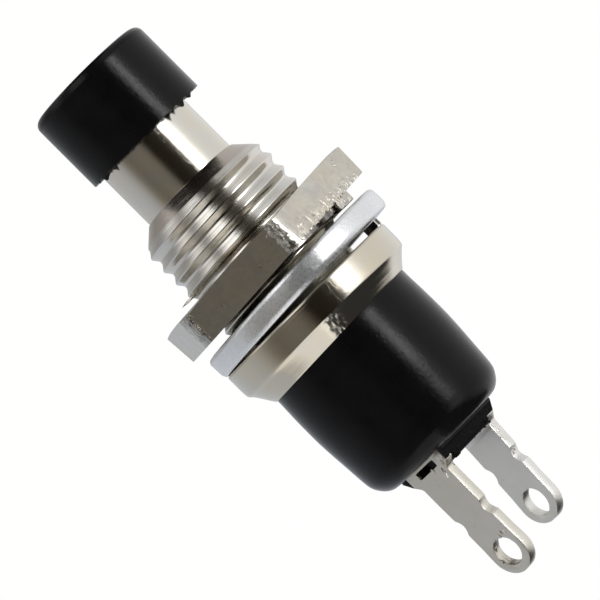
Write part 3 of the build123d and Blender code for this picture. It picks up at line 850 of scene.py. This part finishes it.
# ================================================================ flat washer
T, WR = 1.03, 5.12
prof = [(3.86, -T / 2), (3.78, -T / 2 + 0.08), (3.78, T / 2 - 0.08), (3.86, T / 2), (4.85, T / 2)]
prof += [(WR - 0.16, T / 2), (WR - 0.115, T / 2 - 0.012), (WR - 0.075, T / 2 - 0.04), (WR - 0.02, T / 2 - 0.115),
         (WR - 0.006, T / 2 - 0.145), (WR, T / 2 - 0.19), (WR + 0.002, 0.0), (WR, -T / 2 + 0.265),
         (WR - 0.006, -T / 2 + 0.225), (WR - 0.02, -T / 2 + 0.19), (WR - 0.08, -T / 2 + 0.05), (WR - 0.115, -T / 2 + 0.015),
         (WR - 0.17, -T / 2), (4.80, -T / 2)]


def washer_shape(a, r, z):
    if r > 4.7:
        p = Vector((math.cos(math.radians(a)) * 14, math.sin(math.radians(a)) * 14, z * 3))
        r += 0.006 * noise.noise(p)
        z += 0.008 * noise.noise(p * 0.6 + Vector((5, 2, 1)))
    return r, z


washer = lathe("washer", prof, 320, shape=washer_shape)
washer.matrix_world = slanted(0.30, 0.725, 2.3, 0.55)
settle(washer)
done(washer, "washer_flat", "washer", ["flat_washer"], zinc)

# ================================================================ switch body
prof = [(0.0, -7.95), (1.36, -7.95), (1.36, -6.87), (3.05, -6.87), (3.05, -0.56), (4.27, -0.56),
        (4.27, -1.13), (3.885, -1.79), (3.885, -2.4)]
outer = [(-2.8, 3.900), (-3.3, 3.918), (-3.8, 3.928), (-4.3, 3.93), (-4.8, 3.925), (-5.2, 3.905), (-5.6, 3.882),
         (-6.0, 3.852), (-6.4, 3.822), (-6.8, 3.795), (-7.2, 3.768), (-7.5, 3.740), (-7.7, 3.700),
         (-7.85, 3.640), (-7.97, 3.570), (-8.10, 3.480), (-8.22, 3.375), (-8.32, 3.260), (-8.40, 3.130),
         (-8.45, 3.00), (-8.475, 2.86), (-8.48, 2.70)]
prof += [(r, z) for z, r in outer] + [(1.5, -8.48), (0.0, -8.48)]
housing = lathe("housing", prof, 192, ring=False)
boss = prism("boss", [(-1.67, -8.2), (-1.67, -8.60), (-1.60, -8.68), (-1.18, -9.22), (-1.10, -9.28), (-1.02, -9.29),
                      (1.02, -9.29), (1.10, -9.28), (1.18, -9.22), (1.60, -8.68), (1.67, -8.60), (1.67, -8.2)],
             -2.04, 2.04, ((1, 0, 0), (0, 0, 1), (0, -1, 0)))
cut(housing, boss, "UNION")
for side in (1, -1):
    chan = prism("chan", [(-1.33, -8.485), (1.33, -8.485), (1.33, -10.0), (-1.33, -10.0)], 1.54, 2.3,
                 ((1, 0, 0), (0, 0, 1), (0, side, 0)))
    cut(housing, chan)
    slit = prism("slit", [(-1.0, -6.6), (1.0, -6.6), (1.0, -8.8), (-1.0, -8.8)], 1.54, 2.04,
                 ((1, 0, 0), (0, 0, 1), (0, side, 0)))
    cut(housing, slit)
tidy(housing)
bevel(housing, 0.035, 2, 34)
burr = random.Random(17)
flash = []
for x in (1.45, 1.40, 1.50, 1.36, -1.44):
    for _ in range(7):
        p = Vector((x + burr.uniform(-0.14, 0.14), -burr.uniform(0.3, 1.95), -9.0 + burr.uniform(-0.1, 0.45)))
        k = burr.uniform(0.07, 0.15)
        flash.append((p, UP, (k, k, k), burr.random()))
for x in (1.10, 0.95, 1.2, 0.7, 0.4, -0.3, -0.9, -1.1, 0.1, 1.3):
    for side in (1, -1):
        p = Vector((x + burr.uniform(-0.1, 0.1), side * burr.uniform(1.2, 1.50), -9.27))
        k = burr.uniform(0.06, 0.13)
        flash.append((p, (UP + SIDE * 0.01).normalized(), (k, k, k), burr.random()))
for p, n, size, seed in flash:
    if abs(p.x) < 1.34 and abs(p.y) > 1.5:
        continue
cut(housing, chips(flash), "UNION")
done(housing, "housing_moulded", "body", ["switch_body"], body_black, angle=35)

# ================================================================== terminals
NOTCH, EYE, TIP = -11.65, -13.69, -14.80


def half_outline(shift, rnd):
    """Right half of the lug's outline from the top down to the tip."""
    e, t, nz = EYE + shift, TIP + shift, NOTCH + shift
    hw = 1.01
    pts = [(1.0, -6.3), (1.0, -8.475), (1.33, -8.475), (1.33, -9.00), (1.30, -9.07), (1.06, -9.29), (1.015, -9.40)]
    pts += [(hw + 0.01 * rnd.uniform(-1, 1), nz + 1.4), (hw, nz + 0.50), (hw - 0.02, nz + 0.42)]
    for k in range(-4, 5):
        w = k / 4.0
        pts.append((hw - 0.165 * (1 - w * w) - 0.018 + 0.006 * rnd.uniform(-1, 1), nz - 0.40 * w))
    pts += [(hw, nz - 0.50)]
    pts += [(hw + 0.005, e + 0.70), (1.035, e + 0.35)]
    cz = t + 1.05
    pts += [(1.05 * math.cos(math.radians(a)), cz + 1.05 * math.sin(math.radians(a))) for a in range(4, -90, -8)]
    return pts


def lug(name, shift, seed):
    rnd = random.Random(seed)
    right = half_outline(shift, rnd)
    left = [(-x, z) for x, z in reversed(half_outline(shift, rnd))]
    o = prism(name, right + [(0.0, TIP + shift)] + left, 0.0, 4.0, ((1, 0, 0), (0, 0, 1), (0, -1, 0)))
    # the strip as seen from its edge: contact pad, bend and shank
    strip = [(1.54, TIP - 1.0), (1.54, -6.95)]
    strip += [(1.54 + 0.42 - 0.42 * math.cos(math.radians(a)), -6.79 + 0.42 * math.sin(math.radians(a))) for a in range(0, 91, 15)]
    strip += [(2.85, -6.37), (2.85, -6.87), (2.04, -6.87), (2.04, TIP - 1.0)]
    s = prism("strip", [(-y, z) for y, z in strip], -2.0, 2.0, ((0, 1, 0), (0, 0, 1), (1, 0, 0)))
    cut(o, s, "INTERSECT")
    # eyelet, its rim slightly uneven
    e = EYE + shift
    rx, ox, oz = (0.70, 0.0, 0.0) if not shift else (0.64, 0.05, -0.06)
    hole = prism("hole", [(ox + rx * math.cos(math.radians(a)) * (1 + 0.012 * rnd.uniform(-1, 1)),
                           e + oz + 0.70 * math.sin(math.radians(a)) * (1 + 0.012 * rnd.uniform(-1, 1))) for a in range(0, 360, 8)],
                 0.0, 4.0, ((1, 0, 0), (0, 0, 1), (0, -1, 0)))
    cut(o, hole)
    win = prism("win", [(-0.68, -8.93), (-0.63, -8.975), (0.63, -8.975), (0.68, -8.93), (0.68, -8.67), (0.63, -8.625),
                        (-0.63, -8.625), (-0.68, -8.67)], 0.0, 4.0, ((1, 0, 0), (0, 0, 1), (0, -1, 0)))
    cut(o, win)
    tidy(o)
    return o


front = lug("lug", 0.0, 3)
bevel(front, 0.020, 2, 28)
tree, rnd = tree_of(front), random.Random(41)
gouges, lumps = [], []
for s, z, k, way in ((-0.30, -8.95, 0.09, 1), (-0.42, -9.12, 0.12, 1), (-0.55, -8.98, 0.10, 0), (-0.62, -9.22, 0.13, 1), (-0.78, -9.05, 0.11, 1),
                     (-0.92, -9.28, 0.10, 0), (-1.02, -9.48, 0.12, 1), (-1.06, -9.72, 0.09, 1), (-1.12, -9.12, 0.12, 1), (-0.45, -9.38, 0.09, 0),
                     (-1.28, -9.02, 0.08, 1), (-1.10, -12.90, 0.11, 0), (-1.26, -12.98, 0.09, 1), (-1.40, -13.00, 0.08, 0), (-0.98, -12.98, 0.08, 1),
                     (-1.72, -13.28, 0.13, 0), (-1.86, -13.55, 0.15, 0), (-1.90, -13.90, 0.14, 0), (-1.78, -14.15, 0.12, 0),
                     (-1.98, -13.72, 0.09, 1), (-1.70, -13.98, 0.08, 1)):
    p, n = hit(tree, s, z)
    if p is not None and p.y < -0.5:
        k *= 1.5 if z > -10 else 1.25
        (lumps if way else gouges).append((p, n, (k * 0.9, k * (0.35 if way else 0.5), k * 1.3), rnd.random()))
cut(front, chips(gouges))
cut(front, chips(lumps), "UNION")
tidy(front)
done(front, "lug_front", "body", ["front_terminal"], tin_front, angle=35)

rear = lug("lug", 0.56, 8)
for z in (-9.20, -9.28, -9.36, -9.44, -9.52, -9.6):
    bm = bmesh.new()
    bm.from_mesh(rear.data)
    bmesh.ops.bisect_plane(bm, geom=bm.verts[:] + bm.edges[:] + bm.faces[:], plane_co=(0, 0, z), plane_no=(0, 0, 1))
    bm.to_mesh(rear.data)
    bm.free()
bevel(rear, 0.020, 2, 28)


def rear_bend(p):
    p = Vector((-p.x, -p.y, p.z))
    t = math.radians(4.0) * smooth(-9.16, -9.58, p.z)
    if p.z < -9.16:
        dz, dy = p.z + 9.34, p.y - 1.54
        p.y = 1.54 + dy * math.cos(t) + dz * math.sin(t)
        p.z = -9.34 + dz * math.cos(t) - dy * math.sin(t)
    return p


bend_points(rear, rear_bend)
tree = tree_of(rear)
gouges, lumps = [], []
for s, z, k, way in ((1.84, -10.86, 0.12, 1), (1.70, -10.98, 0.10, 0), (1.80, -11.10, 0.09, 1), (1.66, -11.22, 0.10, 0), (1.74, -11.36, 0.08, 1),
                     (0.92, -12.60, 0.10, 0), (0.80, -12.70, 0.09, 0), (1.95, -9.5, 0.12, 1), (1.92, -9.8, 0.10, 0), (1.86, -10.4, 0.09, 1),
                     (2.0, -9.3, 0.08, 1), (1.76, -10.1, 0.06, 1)):
    p, n = hit(tree, s, z)
    if p is not None:
        (lumps if way else gouges).append((p, n, (k * 0.9, k * (0.35 if way else 0.5), k * 1.2), rnd.random()))
cut(rear, chips(gouges))
cut(rear, chips(lumps), "UNION")
tidy(rear)
done(rear, "lug_rear", "body", ["rear_terminal"], tin_rear, angle=35)

# ============================================================ floor and light
floor_m = bpy.data.materials.new("floor_pale")
floor_m.use_nodes = True
ft = floor_m.node_tree
fb = ft.nodes["Principled BSDF"]
fn = ft.nodes.new("ShaderNodeTexNoise")
fn.inputs["Scale"].default_value = 12.0
fr = ft.nodes.new("ShaderNodeValToRGB")
fr.color_ramp.elements[0].color = (0.93, 0.93, 0.925, 1)
fr.color_ramp.elements[1].color = (0.96, 0.96, 0.955, 1)
ft.links.new(fn.outputs["Fac"], fr.inputs[0])
ft.links.new(fr.outputs[0], fb.inputs["Base Color"])
fb.inputs["Roughness"].default_value = 0.9
fb.inputs["Specular IOR Level"].default_value = 0.1
fb.inputs["Emission Color"].default_value = (1, 1, 1, 1)
fb.inputs["Emission Strength"].default_value = 0.55
ring_n = 96
verts = [(0, 0, 0)] + [(math.cos(2 * math.pi * k / ring_n), math.sin(2 * math.pi * k / ring_n), 0) for k in range(ring_n)]
faces = [(0, 1 + k, 1 + (k + 1) % ring_n) for k in range(ring_n)]
floor = make("floor", verts, faces)
floor.data.transform(Matrix.Scale(0.29, 4))
floor.location = (0, 0, -0.045)
floor.data.materials.append(floor_m)
floor.visible_glossy = False

# studio surroundings, as soft panels by direction
world = bpy.data.worlds.new("studio")
scene.world = world
world.use_nodes = True
wt = world.node_tree
wt.nodes.clear()


def wn(kind):
    return wt.nodes.new(kind)


def wmath(op, a, b=None, c=None, clamp=False):
    n = wn("ShaderNodeMath")
    n.operation, n.use_clamp = op, clamp
    for i, v in enumerate((a, b, c)):
        if v is None:
            continue
        if isinstance(v, bpy.types.NodeSocket):
            wt.links.new(v, n.inputs[i])
        else:
            n.inputs[i].default_value = v
    return n.outputs[0]


def wdot(v, d):
    n = wn("ShaderNodeVectorMath")
    n.operation = "DOT_PRODUCT"
    wt.links.new(v, n.inputs[0])
    n.inputs[1].default_value = tuple(d)
    return n.outputs["Value"]


GAIN = 12.0


def wramp(angle, stops):
    """Ramp over an angle in radians; stops are (degrees, brightness or colour)."""
    fac = wmath("MULTIPLY_ADD", angle, 1 / (2 * math.pi), 0.5)
    n = wn("ShaderNodeValToRGB")
    e = n.color_ramp.elements
    while len(e) > 1:
        e.remove(e[-1])
    for i, (deg, c) in enumerate(stops):
        pos = deg / 360.0 + 0.5
        el = e[0] if i == 0 else e.new(pos)
        el.position = pos
        if not hasattr(c, "__len__"):
            c = (c, c, c)
        el.color = (*[x / GAIN for x in c], 1.0)
    wt.links.new(fac, n.inputs[0])
    return n.outputs[0]


def wmix(f, a, b):
    n = wn("ShaderNodeMix")
    n.data_type = "RGBA"
    wt.links.new(f, n.inputs["Factor"])
    wt.links.new(a, n.inputs[6])
    wt.links.new(b, n.inputs[7])
    return n.outputs[2]


tc = wn("ShaderNodeTexCoord")
d = tc.outputs["Generated"]
dc, dv, dz = wdot(d, FRONT), wdot(d, SIDE), wdot(d, UP)
phi = wmath("ARCTAN2", dv, dc)
above = wmath("ARCTAN2", dv, dz)
below = wmath("ARCTAN2", dv, wmath("MULTIPLY", dz, -1.0))
elev = wmath("ARCSINE", dz)
lateral = wmath("ARCTAN2", dv, wmath("ADD", dc, 1.0))
W, B = (1.0, 0.985, 0.955), (0.93, 0.95, 1.0)


def tone(v, t=(1, 1, 1)):
    return tuple(v * k for k in t)


OLIVE, SMOKE, HAZE, PAPER = (1.0, 0.92, 0.80), (1.0, 0.82, 0.60), (0.985, 1.03, 1.10), (1.0, 0.985, 0.95)
horizon = wramp(phi, [
    (-180, tone(0.60, HAZE)), (-142, tone(0.56, HAZE)), (-106, tone(0.52, HAZE)), (-93, tone(0.475, HAZE)),
    (-82, tone(0.43)), (-74, 0.33),
    (-66, tone(0.24, OLIVE)), (-61, tone(0.19, OLIVE)), (-52, tone(0.155, OLIVE)), 
    (-30, tone(0.180, OLIVE)), (-18, tone(0.165, OLIVE)), (-14, tone(0.135, OLIVE)), (-10, tone(0.085, OLIVE)),
    (-6, tone(0.035, SMOKE)), (-2, tone(0.014, SMOKE)), (22, tone(0.022, SMOKE)),
    (28, tone(0.035, OLIVE)), (33, tone(0.07, OLIVE)), (36.5, 0.30), (39, 1.5), (57, 1.8), (62, 1.5), (68, 1.10), (74, 0.96), (84, 0.90), (100, 0.87), (150, 0.92),
    (180, tone(0.60, HAZE))])
tube = wramp(phi, [(-180, 0.0), (37, 0.0), (39, 0.6), (42, 7.0), (51, 9.0), (54, 2.2), (57, 0.0), (180, 0.0)])
flank = wramp(lateral, [
    (-180, 0.40), (-90, 0.50), (-56, 0.36), (-50, 0.34), (-46, 0.42), (-41, 0.66), (-37, 0.95), (-30, 0.90), (-27, 0.42),
    (-21, 0.36), (-18, 0.62), (-15, 1.35), (-3.5, 1.6), (-1.6, 0.45), (1, tone(0.10, OLIVE)), (5, tone(0.045, OLIVE)),
    (11, tone(0.055, OLIVE)), (14.5, tone(0.12, OLIVE)), (17.5, 0.60), (20, 0.88), (26, 0.84), (30, 0.78), (36, 0.70),
    (45, 0.64), (58, 0.76), (90, 0.80), (180, 0.40)])
button = wramp(lateral, [
    (-180, 0.40), (-90, 0.50), (-56, 0.30), (-40, 0.34), (-31, 0.55), (-27, 0.60), (-20, 0.13), (-14, tone(0.10, OLIVE)),
    (-4, tone(0.05, OLIVE)), (2, tone(0.022, OLIVE)), (18, tone(0.022, OLIVE)), (25, tone(0.035, OLIVE)), (31, 0.46),
    (40, 0.52), (90, 0.62), (180, 0.40)])
low = wramp(below, [
    (-180, 0.5), (-90, 0.60), (-42, 0.56), (-38, 0.64), (-34, 0.82), (-28, 1.0), (-5, 1.0), (-2.5, 1.5), (-1, 1.5),
    (1.5, 0.20), (6, 0.04), (38, 0.035), (41, 0.10), (43, 0.42), (48, 0.62), (60, 0.9), (90, 0.9), (180, 0.5)])


def wsmooth(x, a, b):
    n = wn("ShaderNodeMapRange")
    n.interpolation_type = "SMOOTHSTEP"
    n.inputs["From Min"].default_value = a
    n.inputs["From Max"].default_value = b
    wt.links.new(x, n.inputs["Value"])
    return n.outputs["Result"]


glow = wmath("SUBTRACT", 1.0, wsmooth(wmath("ABSOLUTE", elev), math.radians(5), math.radians(10)))
zero = wn("ShaderNodeRGB")
zero.outputs[0].default_value = (0, 0, 0, 1)
band = wn("ShaderNodeMix")
band.data_type, band.blend_type = "RGBA", "ADD"
band.inputs["Factor"].default_value = 1.0
wt.links.new(horizon, band.inputs[6])
wt.links.new(wmix(glow, zero.outputs[0], tube), band.inputs[7])
rise = wmath("ARCSINE", wmath("DIVIDE", dz, wmath("SQRT", wmath("MAXIMUM", wmath("MULTIPLY_ADD", dc, 2.0, 2.0), 0.02)),
                               clamp=True))
sky = wmix(wsmooth(rise, math.radians(6.5), math.radians(10.5)), band.outputs[2], flank)
sky = wmix(wsmooth(rise, math.radians(44.6), math.radians(45.4)), sky, button)
lean = wmath("MULTIPLY_ADD", wsmooth(phi, math.radians(-2), math.radians(28)), -math.radians(13), elev)
sky = wmix(wsmooth(lean, math.radians(-41), math.radians(-50)), sky, low)
bg = wn("ShaderNodeBackground")
wt.links.new(sky, bg.inputs[0])
bg.inputs[1].default_value = GAIN
white = wn("ShaderNodeBackground")
white.inputs[0].default_value = (1.0, 1.0, 0.995, 1)
white.inputs[1].default_value = 1.0
lp = wn("ShaderNodeLightPath")
mixer = wn("ShaderNodeMixShader")
wt.links.new(lp.outputs["Is Camera Ray"], mixer.inputs[0])
wt.links.new(bg.outputs[0], mixer.inputs[1])
wt.links.new(white.outputs[0], mixer.inputs[2])
wo = wn("ShaderNodeOutputWorld")
wt.links.new(mixer.outputs[0], wo.inputs[0])

# --------------------------------------------------------------------- camera
cam = bpy.data.cameras.new("camera")
cam.sensor_width = 36.0
DIST = 220.0
cam.lens = 36.0 * DIST / 25.75
cam.clip_start, cam.clip_end = 0.01, 10.0
co = bpy.data.objects.new("camera", cam)
scene.collection.objects.link(co)
tilt = math.radians(-0.8)
back = FRONT * math.cos(tilt) + UP * math.sin(tilt)
axis = (UP - back * UP.dot(back)).normalized()
right = (SIDE - axis) / math.sqrt(2)
upv = (SIDE + axis) / math.sqrt(2)
target = SIDE * -0.1395 + UP * 0.159
pos = (target + back * DIST) * MM
co.matrix_world = Matrix(((right.x, upv.x, back.x, pos.x), (right.y, upv.y, back.y, pos.y),
                          (right.z, upv.z, back.z, pos.z), (0, 0, 0, 1)))
scene.camera = co
scene.view_settings.view_transform = "Standard"
scene.view_settings.look = "None"
scene.cycles.use_denoising = True
